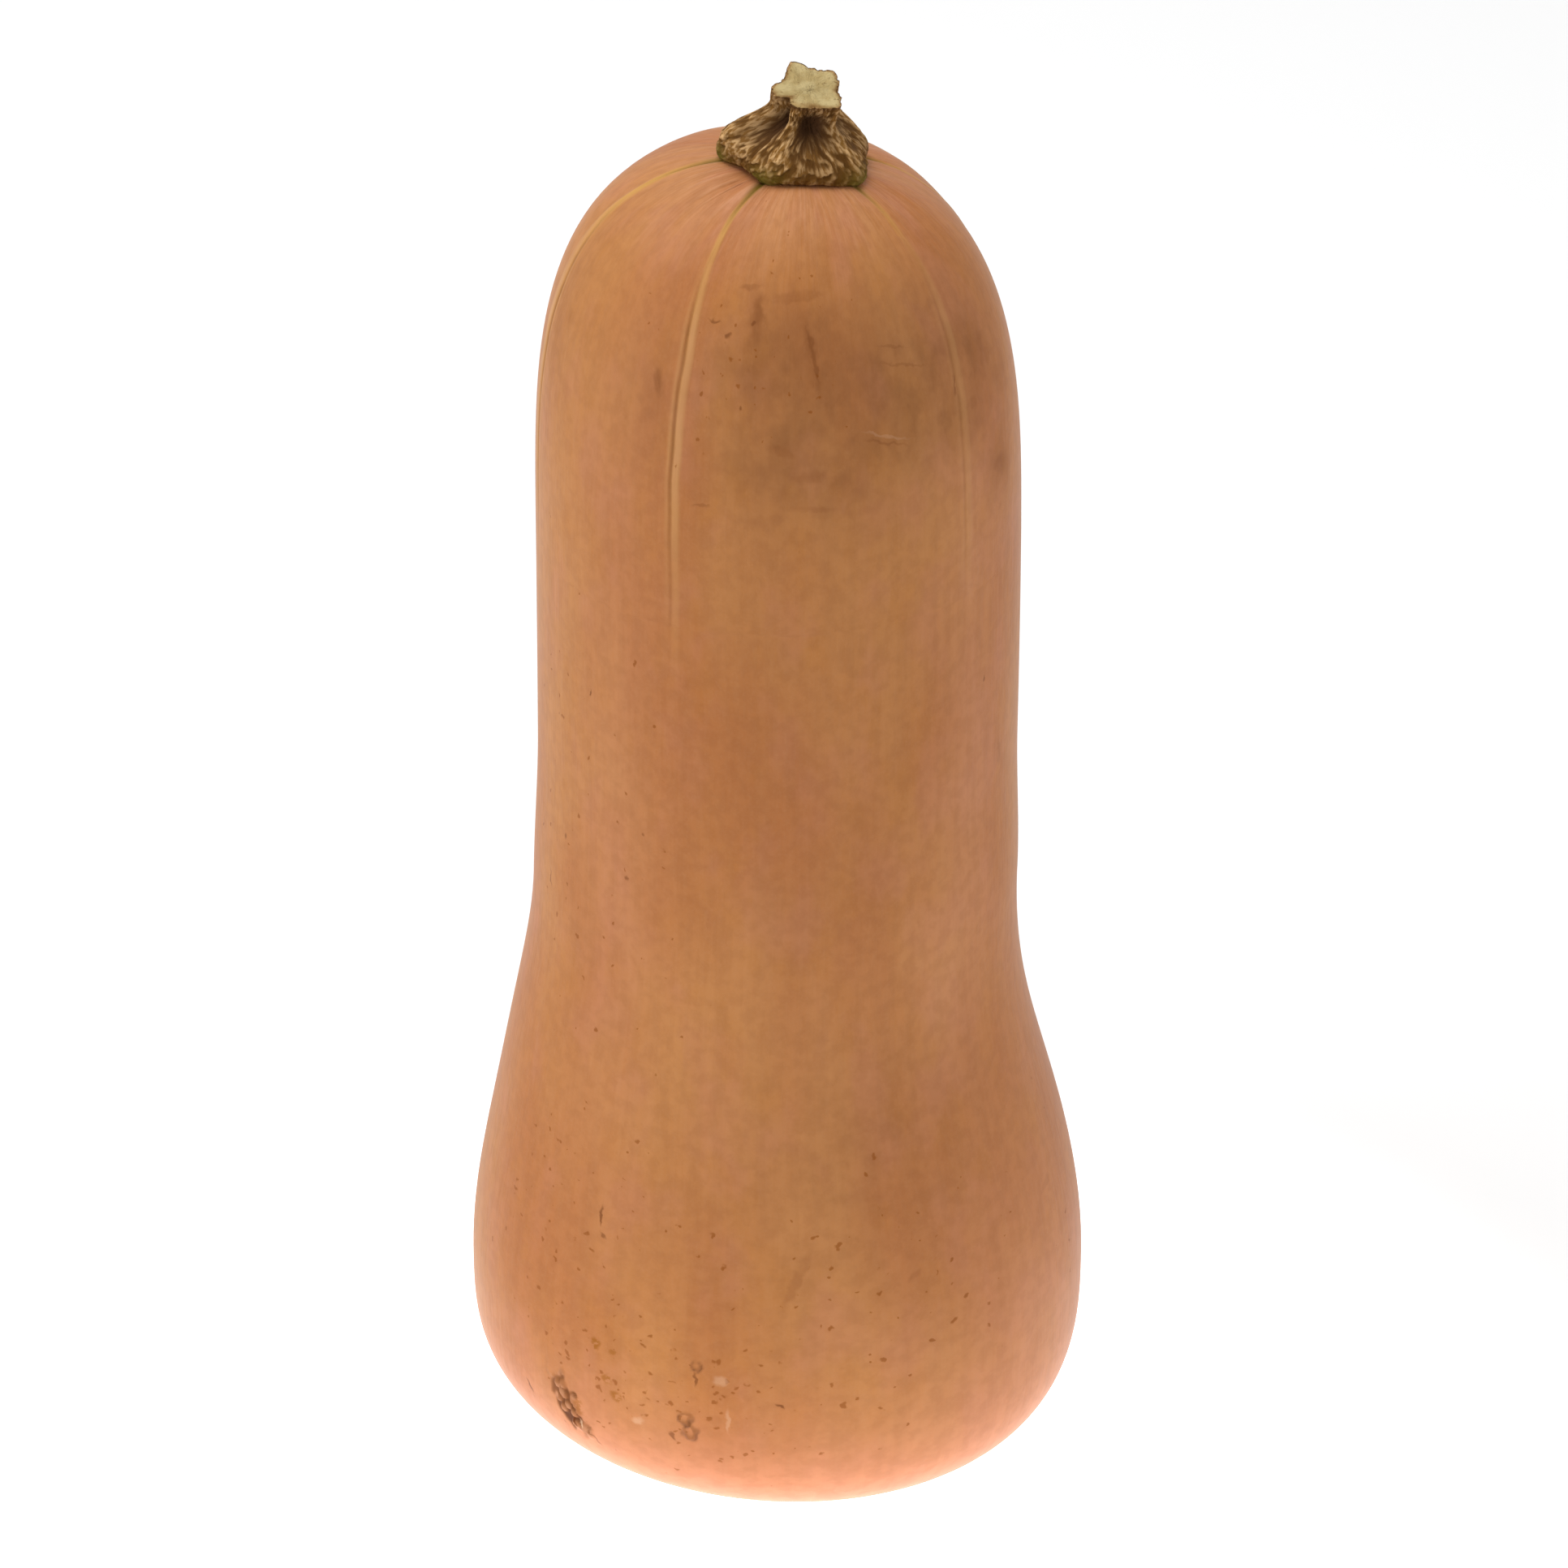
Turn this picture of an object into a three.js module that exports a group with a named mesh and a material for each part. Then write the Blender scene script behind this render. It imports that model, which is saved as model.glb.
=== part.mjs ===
// A butternut squash picked with a short stub of its stem, standing upright on its blossom end.
// Millimetres, +Z up. The origin is the centre of the flat spot that the squash rests on.
// The front, where the rind's scars are, faces -Y.
import * as THREE from 'three';

// ---- driving dimensions of the fruit ----
const BULB_RADIUS = 55.8;      // widest part, around the seed cavity
const BULB_HEIGHT = 35;        // height of the widest part above the resting spot
const FOOT_RADIUS = 19.5;      // flat spot around the blossom scar
const WAIST_RADIUS = 43;       // just above the bulb, a little fuller than the neck
const WAIST_HEIGHT = 115;
const NECK_RADIUS = 42.2;
const NECK_HEIGHT = 142;       // where the neck has reached its own radius
const SHOULDER_HEIGHT = 177.5; // where the dome starts
const FRUIT_HEIGHT = 252.8;

// The base and the dome are super-ellipses: (r / radius)^SIDE + (depth / full depth)^END = 1.
const BASE_SIDE = 2.3;
const BASE_END = 3.2;
const DOME_SIDE = 2.5;
const DOME_END = 3.65;

// The fruit grew a little crooked.
const WAIST_DRIFT = -0.95;     // how far the axis bows to -X just below the waist
const WAIST_DRIFT_SPAN = 20;
const BASE_TILT = 0.055;       // drop of the underside per mm towards +X
const BASE_PITCH = 0.012;      // and per mm towards +Y
const DOME_TILT = 0.034;       // drop of the dome per mm towards +X
const BASE_TILT_SPAN = 15;     // the tilt fades in over this distance outside the foot

// ---- driving dimensions of the stem stub ----
const STEM_X = 3.6;            // the stem stands off the fruit's axis, towards +X
const STEM_Y = 0;
const STEM_GAP = 0.3;          // clearance between the stem and the rind under it
const PIT_DEPTH = 0.8;         // shallow seat in the dome under the stem
const PIT_RADIUS = 10;
const COLLAR_RADIUS = 11.9;    // mean radius where the stem meets the rind
const COLLAR_HEIGHT = 1.6;     // height of the collar's fullest part
const COLLAR_UNDERCUT = 0.9;   // how far the lip turns in below it
const NECKING_HEIGHT = 9.6;    // where the flare has run out into the stalk
const STALK_RADIUS = 5.6;
const STEM_HEIGHT = 12.8;      // cut face above the collar's foot
const STEM_LEAN = 2.0;         // drift of the cut face towards +X
const CUT_TILT = 0.2;          // slope of the cut face, lower towards the front
const RIDGE_AZIMUTHS = [-84, -28, 52, 122, 200]; // degrees from the front, + towards +X
const RIDGE_WIDTH = 21;        // degrees
const COLLAR_RIDGE = 1.9;      // how far the ridges stand out of the collar
const STALK_RIDGE = 0.9;

// ---- how finely the surfaces are faceted ----
const FRUIT_COLUMNS = 48;
const STEM_COLUMNS = 40;
const CAP_ROWS = 9;
const SIDE_ROWS = 14;
const STEM_ROWS = 9;
const FLOOR_ROWS = 4;

const DEGREE = Math.PI / 180;

function smooth(t) {
  const c = THREE.MathUtils.clamp(t, 0, 1);
  return c * c * (3 - 2 * c);
}

// Depth of a super-elliptic cap at radius r, 0 at its rim and 1 on its axis.
function capDepth(r, radius, side, end) {
  return Math.pow(Math.max(0, 1 - Math.pow(Math.min(1, r / radius), side)), 1 / end);
}

// The base's super-ellipse is deeper than the bulb is high: the foot cuts its end off.
const BASE_DEPTH = BULB_HEIGHT / capDepth(FOOT_RADIUS, BULB_RADIUS, BASE_SIDE, BASE_END);
const DOME_DEPTH = FRUIT_HEIGHT - SHOULDER_HEIGHT;

// Height of the dome, with its tilt and the stem's seat, above a point of the ground plan.
function domeHeight(x, y) {
  const crown = DOME_DEPTH * capDepth(Math.hypot(x, y), NECK_RADIUS, DOME_SIDE, DOME_END);
  return SHOULDER_HEIGHT + crown - domeDrop(x, y, SHOULDER_HEIGHT + crown);
}

function domeDrop(x, y, z) {
  const seat = ((x - STEM_X) ** 2 + (y - STEM_Y) ** 2) / PIT_RADIUS ** 2;
  return DOME_TILT * x * smooth((z - SHOULDER_HEIGHT) / DOME_DEPTH) + PIT_DEPTH * Math.exp(-seat);
}

// Radius of the fruit's side between the bulb and the shoulder.
function sideRadius(z) {
  if (z < WAIST_HEIGHT) {
    const flare = smooth((WAIST_HEIGHT - z) / (WAIST_HEIGHT - BULB_HEIGHT));
    return THREE.MathUtils.lerp(WAIST_RADIUS, BULB_RADIUS, flare);
  }
  const rise = smooth((z - WAIST_HEIGHT) / (NECK_HEIGHT - WAIST_HEIGHT));
  return THREE.MathUtils.lerp(WAIST_RADIUS, NECK_RADIUS, rise);
}

// Half outline of the fruit from the middle of its foot to the top of its dome.
function fruitOutline() {
  const outline = [new THREE.Vector2(0, 0)];
  for (let i = 0; i < CAP_ROWS; i += 1) {
    const turn = Math.sin((i / CAP_ROWS) * Math.PI / 2);
    const r = THREE.MathUtils.lerp(FOOT_RADIUS, BULB_RADIUS, turn);
    const depth = BASE_DEPTH * capDepth(r, BULB_RADIUS, BASE_SIDE, BASE_END);
    outline.push(new THREE.Vector2(r, BULB_HEIGHT - depth));
  }
  for (let i = 0; i < SIDE_ROWS; i += 1) {
    const z = THREE.MathUtils.lerp(BULB_HEIGHT, SHOULDER_HEIGHT, i / SIDE_ROWS);
    outline.push(new THREE.Vector2(sideRadius(z), z));
  }
  for (let i = 0; i < CAP_ROWS; i += 1) {
    const r = NECK_RADIUS * Math.cos((i / CAP_ROWS) * Math.PI / 2);
    const crown = DOME_DEPTH * capDepth(r, NECK_RADIUS, DOME_SIDE, DOME_END);
    outline.push(new THREE.Vector2(r, SHOULDER_HEIGHT + crown));
  }
  outline.push(new THREE.Vector2(0, FRUIT_HEIGHT));
  return outline;
}

// Turns the outline round the Z axis, then moves each point (x, y, z) to where place() says.
function turned(outline, columns, place) {
  const geometry = new THREE.LatheGeometry(outline, columns).rotateX(Math.PI / 2);
  const points = geometry.getAttribute('position');
  for (let i = 0; i < points.count; i += 1) {
    points.setXYZ(i, ...place(points.getX(i), points.getY(i), points.getZ(i)));
  }
  geometry.computeVertexNormals();
  return geometry;
}

// The crooked growth: the axis bows below the waist, the underside and the dome lean.
function crookedFruit(x, y, z) {
  const r = Math.hypot(x, y);
  const belowWaist = (z - WAIST_HEIGHT + WAIST_DRIFT_SPAN * 1.25) / WAIST_DRIFT_SPAN;
  const bow = WAIST_DRIFT * Math.exp(-(belowWaist ** 2));
  if (z < BULB_HEIGHT) {
    const outside = smooth((r - FOOT_RADIUS) / BASE_TILT_SPAN);
    const low = smooth((BULB_HEIGHT - z) / BULB_HEIGHT);
    return [x + bow, y, z - (BASE_TILT * x + BASE_PITCH * y) * outside * low];
  }
  if (z > SHOULDER_HEIGHT) {
    return [x, y, z - domeDrop(x, y, z)];
  }
  return [x + bow, y, z];
}

// How much of a ridge stands at an azimuth: 1 on a ridge's crest, 0 far from every ridge.
function ridge(azimuth) {
  return RIDGE_AZIMUTHS.reduce((sum, crest) => {
    const away = THREE.MathUtils.euclideanModulo(azimuth - crest + 180, 360) - 180;
    return sum + Math.exp(-((away / RIDGE_WIDTH) ** 2));
  }, 0);
}

// Half outline of the stub: its hidden floor, its collar and flare, then the cut face.
function stemOutline() {
  const outline = [];
  for (let i = 0; i < FLOOR_ROWS; i += 1) {
    outline.push(new THREE.Vector2((COLLAR_RADIUS - COLLAR_UNDERCUT) * i / FLOOR_ROWS, 0));
  }
  for (let i = 0; i <= STEM_ROWS; i += 1) {
    const h = STEM_HEIGHT * i / STEM_ROWS;
    const lip = COLLAR_UNDERCUT * (1 - smooth(h / COLLAR_HEIGHT));
    const flare = 1 - smooth((h - COLLAR_HEIGHT) / (NECKING_HEIGHT - COLLAR_HEIGHT));
    outline.push(new THREE.Vector2(THREE.MathUtils.lerp(STALK_RADIUS, COLLAR_RADIUS, flare) - lip, h));
  }
  outline.push(new THREE.Vector2(0, STEM_HEIGHT));
  return outline;
}

// The stub follows the dome at its foot, stands out along its ridges, leans, and is cut aslant.
function ridgedStem(x, y, h) {
  const rise = h / STEM_HEIGHT;
  const stand = THREE.MathUtils.lerp(COLLAR_RIDGE / COLLAR_RADIUS, STALK_RIDGE / STALK_RADIUS, rise);
  const swell = 1 + stand * ridge(Math.atan2(x, -y) / DEGREE);
  const px = STEM_X + STEM_LEAN * rise + x * swell;
  const py = STEM_Y + y * swell;
  const onDome = domeHeight(px, py);
  const level = domeHeight(STEM_X, STEM_Y) + CUT_TILT * (py - STEM_Y);
  return [px, py, THREE.MathUtils.lerp(onDome, level, smooth(rise)) + STEM_GAP + h];
}

function rindMaterial() {
  return new THREE.MeshStandardMaterial({ color: '#b87d50', roughness: 0.5, metalness: 0 });
}

function stemMaterial() {
  return new THREE.MeshStandardMaterial({ color: '#7a6232', roughness: 0.85, metalness: 0 });
}

function named(name, geometry, material) {
  const mesh = new THREE.Mesh(geometry, material);
  mesh.name = name;
  return mesh;
}

function squashFruit() {
  return named('squash_fruit', turned(fruitOutline(), FRUIT_COLUMNS, crookedFruit), rindMaterial());
}

function stemStub() {
  return named('stem_stub', turned(stemOutline(), STEM_COLUMNS, ridgedStem), stemMaterial());
}

const squash = new THREE.Group();
squash.name = 'butternut_squash';
squash.add(squashFruit(), stemStub());

export default squash;
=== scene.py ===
"""A butternut squash on a pale studio floor: its rind and the stub of its stem.

Lengths are in metres and +Z is up. Azimuths are in degrees around the fruit, 0 at the front (-Y) and
positive towards +X. "Along" is the distance along the fruit's outline from the middle of its foot.
"""
import math

import bpy
import numpy as np
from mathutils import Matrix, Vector


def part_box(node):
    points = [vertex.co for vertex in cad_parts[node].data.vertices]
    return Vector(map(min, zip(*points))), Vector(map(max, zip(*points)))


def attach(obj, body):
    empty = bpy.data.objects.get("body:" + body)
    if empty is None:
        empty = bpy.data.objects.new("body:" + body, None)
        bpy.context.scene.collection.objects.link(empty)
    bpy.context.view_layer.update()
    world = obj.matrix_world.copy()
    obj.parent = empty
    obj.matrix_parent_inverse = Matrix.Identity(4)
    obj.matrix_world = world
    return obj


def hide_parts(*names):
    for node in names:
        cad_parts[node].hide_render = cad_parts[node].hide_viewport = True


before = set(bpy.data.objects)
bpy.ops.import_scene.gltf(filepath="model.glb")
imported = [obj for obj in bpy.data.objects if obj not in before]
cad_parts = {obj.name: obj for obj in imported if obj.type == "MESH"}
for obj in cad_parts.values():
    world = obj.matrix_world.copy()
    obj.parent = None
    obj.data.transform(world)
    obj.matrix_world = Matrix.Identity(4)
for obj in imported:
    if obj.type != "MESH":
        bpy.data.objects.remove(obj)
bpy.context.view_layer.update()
FRUIT_LOW, FRUIT_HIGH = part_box("squash_fruit")
STEM_LOW, STEM_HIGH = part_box("stem_stub")
MM = 0.001

bl_info = {
    "name": "Butternut Squash",
    "version": (1, 0, 0),
    "blender": (4, 5, 0),
    "location": "View3D > Sidebar > Squash",
    "description": "Makes a butternut squash with a veined rind, healed scars and a cut stem stub",
    "category": "Add Mesh",
}

# ---- how the fruit grew ----
BASE_SIDE, BASE_END = 2.3, 3.2       # exponents of the base's super-ellipse
DOME_SIDE, DOME_END = 2.5, 3.65      # and of the dome's
WAIST_DRIFT = -0.95 * MM             # the axis bows to -X just below the waist
WAIST_DRIFT_SPAN = 20 * MM
BASE_TILT, BASE_PITCH, BASE_TILT_SPAN = 0.055, 0.012, 15 * MM
DOME_TILT = 0.034
PIT_DEPTH, PIT_RADIUS = 0.8 * MM, 10 * MM
STEM_X = 3.6 * MM                    # the stem stands off the fruit's axis

# The stem's five ridges run on down the rind as veins: azimuth, how plain the vein is, how wide, and the
# side of its crease that its band is on.
RIDGES = (-84, -28, 52, 122, 200)
VEINS = (
    (-81, 1.0, 1.6, -1), (-25.5, 1.0, 1.0, 1), (50, 0.32, 1.1, 1), (108, 0.6, 1.0, 1), (196, 0.6, 1.2, -1),
)

# ---- surface arithmetic, on whole arrays ----


def smooth(t):
    """0 below 0, 1 above 1, and 3t^2 - 2t^3 between."""
    t = np.clip(t, 0.0, 1.0)
    return t * t * (3.0 - 2.0 * t)


def bell(distance, width):
    """A Gaussian bump, 1 in its middle."""
    return np.exp(-((distance / width) ** 2))


def turn_between(azimuth, other):
    """Signed angle from other to azimuth, -180 to 180."""
    return (azimuth - other + 180.0) % 360.0 - 180.0


def cap_depth(r, radius, side, end):
    """Depth of a super-elliptic cap: (1 - (r / radius)^side)^(1 / end)."""
    return np.clip(1.0 - np.clip(r / radius, 0, 1) ** side, 0, 1) ** (1.0 / end)


def noise(u, v, columns, rows, seed):
    """Smooth random values, -1 to 1, over u, which wraps every 1, and v from 0 to 1: random numbers on a
    lattice of columns by rows, blended between with smoothstep weights."""
    lattice = np.random.default_rng(seed).uniform(-1, 1, (rows + 1, columns))
    x, y = (u % 1.0) * columns, np.clip(v, 0, 1) * rows
    i, j = np.floor(x).astype(int), np.minimum(np.floor(y).astype(int), rows - 1)
    fx, fy = smooth(x - i), smooth(y - j)
    i0, i1 = i % columns, (i + 1) % columns
    low = lattice[j, i0] * (1 - fx) + lattice[j, i1] * fx
    high = lattice[j + 1, i0] * (1 - fx) + lattice[j + 1, i1] * fx
    return low * (1 - fy) + high * fy


def crowded(count, start, stop, crowds):
    """Values from start to stop that stand closer together near each crowd (middle, width, density):
    equal steps of the running total of 1 + the crowds' bells."""
    fine = np.linspace(start, stop, 6000)
    density = 1.0 + sum(k * bell(fine - middle, width) for middle, width, k in crowds)
    total = np.concatenate([[0.0], np.cumsum((density[1:] + density[:-1]) / 2)])
    return np.interp(np.linspace(0, total[-1], count), total, fine)


def outward(points):
    """Unit normals of a grid of points whose columns go round and whose rows climb."""
    wrapped = np.concatenate([points[:, -1:], points, points[:, :1]], axis=1)
    across = wrapped[:, 2:] - wrapped[:, :-2]
    up = np.gradient(points, axis=0)
    normal = np.cross(across, up)
    return normal / np.maximum(np.linalg.norm(normal, axis=2, keepdims=True), 1e-12)


def linear(colour):
    """sRGB hex, such as "#c07f50", as linear red, green and blue."""
    parts = [int(colour[i : i + 2], 16) / 255 for i in (1, 3, 5)]
    return tuple(c / 12.92 if c <= 0.04045 else ((c + 0.055) / 1.055) ** 2.4 for c in parts)


# ---- the fruit ----


class Outline:
    """Half outline of the fruit from the middle of its foot to its crown, as arrays by distance along."""

    def __init__(self, size):
        foot, bulb = size.foot_radius, size.bulb_radius
        self.size = size
        self.base_depth = size.bulb_height / cap_depth(foot, bulb, BASE_SIDE, BASE_END)
        self.dome_depth = size.crown_height - size.shoulder_height
        quarter = np.linspace(0, np.pi / 2, 300)
        foot_r = np.linspace(0, foot, 100)
        foot_z = size.dimple_depth * (1 - smooth(foot_r / size.dimple_radius))
        base_r = foot + (bulb - foot) * np.sin(quarter)
        base_z = size.bulb_height - self.base_depth * cap_depth(base_r, bulb, BASE_SIDE, BASE_END)
        side_z = np.linspace(size.bulb_height, size.shoulder_height, 500)
        dome_r = size.neck_radius * np.cos(quarter)
        dome_z = size.shoulder_height + self.crown(dome_r)
        self.r = np.concatenate([foot_r, base_r[1:], self.side(side_z)[1:], dome_r[1:]])
        self.z = np.concatenate([foot_z, base_z[1:], side_z[1:], dome_z[1:]])
        self.along = np.concatenate([[0], np.cumsum(np.hypot(np.diff(self.r), np.diff(self.z)))])
        self.first_base = len(foot_r)

    def crown(self, r):
        """Height of the dome over the shoulder at radius r."""
        return self.dome_depth * cap_depth(r, self.size.neck_radius, DOME_SIDE, DOME_END)

    def side(self, z):
        """Radius between bulb and shoulder: smoothsteps from the bulb in to the waist and out to the neck."""
        size = self.size
        flare = smooth((size.waist_height - z) / (size.waist_height - size.bulb_height))
        rise = smooth((z - size.waist_height) / (size.neck_height - size.waist_height))
        above = size.waist_radius + (size.neck_radius - size.waist_radius) * rise
        return np.where(z < size.waist_height, above + (size.bulb_radius - above) * flare, above)

    def at_height(self, height):
        """Distance along the outline at a height over the foot."""
        return np.interp(height, self.z[self.first_base :], self.along[self.first_base :])

    def dome_height(self, x, y):
        """Height of the dome over a point of the ground plan, with its tilt and the stem's seat."""
        crown = self.crown(np.hypot(x, y))
        seat = bell(np.hypot(x - STEM_X, y), PIT_RADIUS)
        tilt = DOME_TILT * x * smooth(crown / self.dome_depth)
        return self.size.shoulder_height + crown - tilt - PIT_DEPTH * seat

    def surface(self, azimuth, along):
        """Points of the fruit without its relief. On the dome the meridians meet at the stem, which
        stands off the axis."""
        size = self.size
        r, z = np.interp(along, self.along, self.r), np.interp(along, self.along, self.z)
        turn = np.radians(azimuth)
        dome = z > size.shoulder_height
        base = z < size.bulb_height
        shift = np.where(dome, STEM_X * smooth(1 - r / size.neck_radius), 0)
        bow = WAIST_DRIFT * bell(z - size.waist_height + 1.25 * WAIST_DRIFT_SPAN, WAIST_DRIFT_SPAN)
        x, y = shift + r * np.sin(turn), -r * np.cos(turn)
        lean = (BASE_TILT * x + BASE_PITCH * y) * smooth((r - size.foot_radius) / BASE_TILT_SPAN)
        lean = lean * smooth((size.bulb_height - z) / size.bulb_height)
        z = np.where(dome, self.dome_height(x, y), z - np.where(base, lean, 0))
        return np.stack([x + np.where(dome, 0, bow), y, z], axis=-1)


# Healed scars near the bulb's underside: azimuth, then height, half length and half width in millimetres,
# tilt, and how many millimetres they stand proud.
LONG_SCAR = (-42.3, 26.3, 8.2, 3.0, -27, 0.55)
RING_SCARS = (
    (-16.9, 31.4, 1.3, 1.1, 10, 0.2),
    (-16.0, 28.6, 1.6, 1.3, -10, 0.25),
    (-15.0, 42.6, 1.0, 0.8, 0, 0.14),
)


def scar_place(outline, azimuth, along, scar):
    """Distances across and along a scar, as shares of its half width and half length."""
    middle, height, half_length, half_width, tilt, _ = scar
    middle_along = outline.at_height(height * MM)
    radius = np.interp(middle_along, outline.along, outline.r)
    across = np.radians(turn_between(azimuth, middle)) * radius
    up = along - middle_along
    lean = math.radians(tilt)
    u = across * math.cos(lean) - up * math.sin(lean)
    v = up * math.cos(lean) + across * math.sin(lean)
    return u / (half_width * MM), v / (half_length * MM)


def cork_lumps(u, v, seed, count):
    """How much of a lump of cork each point is, 0 in the gaps between lumps: round lumps about random
    centres. u and v run from -1 to 1 across and along the scar."""
    random = np.random.default_rng(seed)
    centres = random.uniform(-1, 1, (count, 2)) * (0.85, 0.95)
    far = np.sqrt((u[..., None] - centres[:, 0]) ** 2 + (2.2 * (v[..., None] - centres[:, 1])) ** 2)
    return smooth((0.36 - far.min(axis=-1)) / 0.2)


def scar_relief(outline, azimuth, along):
    """Relief of the healed scars, how corky each point is, how deep in a crack, and how crumbly."""
    relief, cork, crack, crumb = (np.zeros(azimuth.shape) for _ in range(4))
    u, v = scar_place(outline, azimuth, along, LONG_SCAR)
    ragged = 0.35 * noise(azimuth / 360, along / outline.along[-1], 240, 180, 11)
    inside = smooth((1.05 + ragged - np.hypot(u, v)) / 0.35)
    lumps = cork_lumps(u, v, 4, 26)
    relief += MM * LONG_SCAR[5] * inside * (lumps - 0.25)
    cork = np.maximum(cork, inside)
    lower = smooth((0.3 - v) / 0.6)
    crack = np.maximum(crack, inside * (1 - lumps) * (0.45 + 0.35 * lower))
    crumb = inside * smooth((lumps - 0.4) / 0.5) * (0.3 + 0.7 * smooth((ragged + 0.1) / 0.2))
    crooked = 0.35 * noise(azimuth / 360, along / outline.along[-1], 420, 320, 12)
    for scar in RING_SCARS:
        u, v = scar_place(outline, azimuth, along, scar)
        far = np.hypot(u, v) + 0.8 * ragged + crooked
        ring = bell(far - 0.78, 0.26)
        relief += MM * scar[5] * ring
        cork = np.maximum(cork, 0.95 * ring)
        crack = np.maximum(crack, 0.6 * bell(far - 1.15, 0.24) * smooth(0.7 - 0.6 * v))
    return relief, cork, crack, crumb


def vein_relief(outline, azimuth, along, radius):
    """Relief of the veins, and the shares of yellow band, dark line, green and pale rib that colour them.
    A vein leaves the stem as a dark crease in a yellow band. Lower down it opens into a fine groove with a
    pale rib on one side and a fainter one on the other, and fades out down the neck."""
    top = outline.along[-1]
    down = (top - along) / MM
    relief, band, line, green, rib = (np.zeros(azimuth.shape) for _ in range(5))
    near = smooth(1 - (down - 13) / 16)
    opened = smooth((down - 22) / 24)
    for k, (middle, strength, width, side) in enumerate(VEINS):
        wave = [noise(0.13 + 0.2 * k + 0 * along, along / top, 5, rows, 20 + 7 * k) for rows in (14, 60, 30)]
        at_stem = turn_between(RIDGES[k], middle) * smooth(1 - down / 30)
        d = np.radians(turn_between(azimuth, middle + at_stem)) * radius / MM + 0.6 * wave[0] + 0.25 * wave[1]
        d = side * d
        strength = strength + (0.95 - strength) * smooth(1 - (down - 12) / 24)
        reach = strength * (0.8 + 0.3 * wave[2]) * (1 - smooth((down - 60) / 52))
        broad = width * (0.5 + 0.3 * smooth((down - 14) / 36))
        main = np.exp(-(((d - 1.15 * broad * opened) / (0.95 * broad)) ** 4))
        rim = 0.5 * opened * bell(d + 0.75, 0.4)
        relief += MM * reach * (0.18 * (1 - near) * main + 0.10 * rim)
        relief -= MM * reach * (0.45 * near + 0.16 * opened) * bell(d, 0.3 + 0.25 * near)
        relief -= MM * 0.35 * strength * bell(d, 6) * bell(down - 30, 22)
        band = np.maximum(band, reach * (main + rim) * (1 - 0.5 * opened))
        rib = np.maximum(rib, reach * (main + rim) * opened)
        line = np.maximum(line, reach * (near * bell(d, 0.4) + 0.6 * opened * bell(d, 0.34)))
        green = np.maximum(green, strength * smooth(1 - (down - 11) / 8) * bell(d, 1.0))
    return relief, band, line, green, rib


def crown_relief(outline, azimuth, along):
    """Flutes that spread from the stem and fade on the shoulder, with sharper wrinkles at the stem's left
    front, and how much of a wrinkle's crest each point is."""
    down = (outline.along[-1] - along) / MM
    level = along / outline.along[-1] * 0.25
    flutes = noise(azimuth / 360, level, 38, 3, 31)
    slant = azimuth / 360 + 0.0011 * (down - 12) * bell(turn_between(azimuth, -55), 30)
    fine = 1 - 3.2 * np.abs(noise(slant, level, 88, 3, 32))
    creased = 0.3 + 0.9 * bell(turn_between(azimuth, -52), 24)
    near = smooth((down - 9) / 4) * (1 - smooth((down - 17) / 26))
    close = smooth((down - 11) / 3) * (1 - smooth((down - 14) / 10))
    crest = close * creased * np.clip(fine, 0, 1)
    folds = 0.17 * close * creased * np.clip(fine, -0.5, 1)
    return MM * (near * (0.3 + creased) * 0.22 * flutes + folds), crest


def broad_relief(azimuth, height):
    """Slow swells of the whole fruit, a few tenths of a millimetre."""
    turn = np.radians(azimuth)
    swell = 0.30 * np.sin(2 * turn + height / 0.041 + 0.7) + 0.22 * np.sin(3 * turn - height / 0.029 + 2.1)
    swell += 0.16 * np.sin(5 * turn + height / 0.023 + 4.0)
    return MM * swell * smooth(height / 0.03)


# Dull, rubbed skin, and painted shade on the front of the fruit where the side lights fall off: azimuth,
# height in millimetres, spread in degrees, spread in height, strength.
GRIME_AND_SHADE_PATCHES = (
    (26, 223, 32, 15, 1.0),
    (0, 231, 16, 8, 0.75),
    (2, 212, 16, 10, 0.75),
    (58, 224, 18, 14, 0.7),
    (-34, 221, 7, 10, 0.35),
    (66, 202, 6, 6, 0.7),
    (-72, 227, 15, 20, 0.55),
    (14, 175, 30, 40, 0.3),
    (12, 126, 17, 20, 0.2),
    (22, 82, 30, 22, 0.28),
    (4, 60, 22, 30, 0.22),
    (150, 190, 30, 25, 0.6),
    (-140, 120, 25, 30, 0.45),
)
# Painted sheen and painted light bounced up from the floor, as patches of paler skin: the same measures.
SHEEN_AND_BOUNCE_PATCHES = (
    (-40, 150, 13, 90, 0.5),
    (52, 150, 10, 55, 0.8),
    (42, 105, 12, 18, 0.4),
    (-5, 3, 60, 15, 0.8),
    (58, 42, 30, 26, 0.8),
    (12, 105, 26, 60, 0.25),
    (140, 100, 30, 60, 0.5),
    (-100, 150, 20, 70, 0.4),
)
# Skin peppered with small brown specks: the same measures.
SPECK_PATCHES = (
    (-16, 33, 20, 13, 1.0),
    (-34, 38, 14, 10, 0.8),
    (-45, 60, 20, 20, 0.4),
    (20, 56, 30, 16, 0.4),
    (-55, 135, 25, 35, 0.25),
    (-8, 228, 20, 14, 0.4),
    (130, 50, 40, 25, 0.5),
    (-150, 62, 35, 28, 0.6),
)


def patches(azimuth, height, table):
    """Sum of soft patches, each a bell in azimuth times a bell in height."""
    total = 0.0
    for middle, level, spread, rise, strength in table:
        total = total + (strength * bell(turn_between(azimuth, middle), spread)
                         * bell(height - level * MM, rise * MM))
    return np.clip(total, 0, 1)


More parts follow.
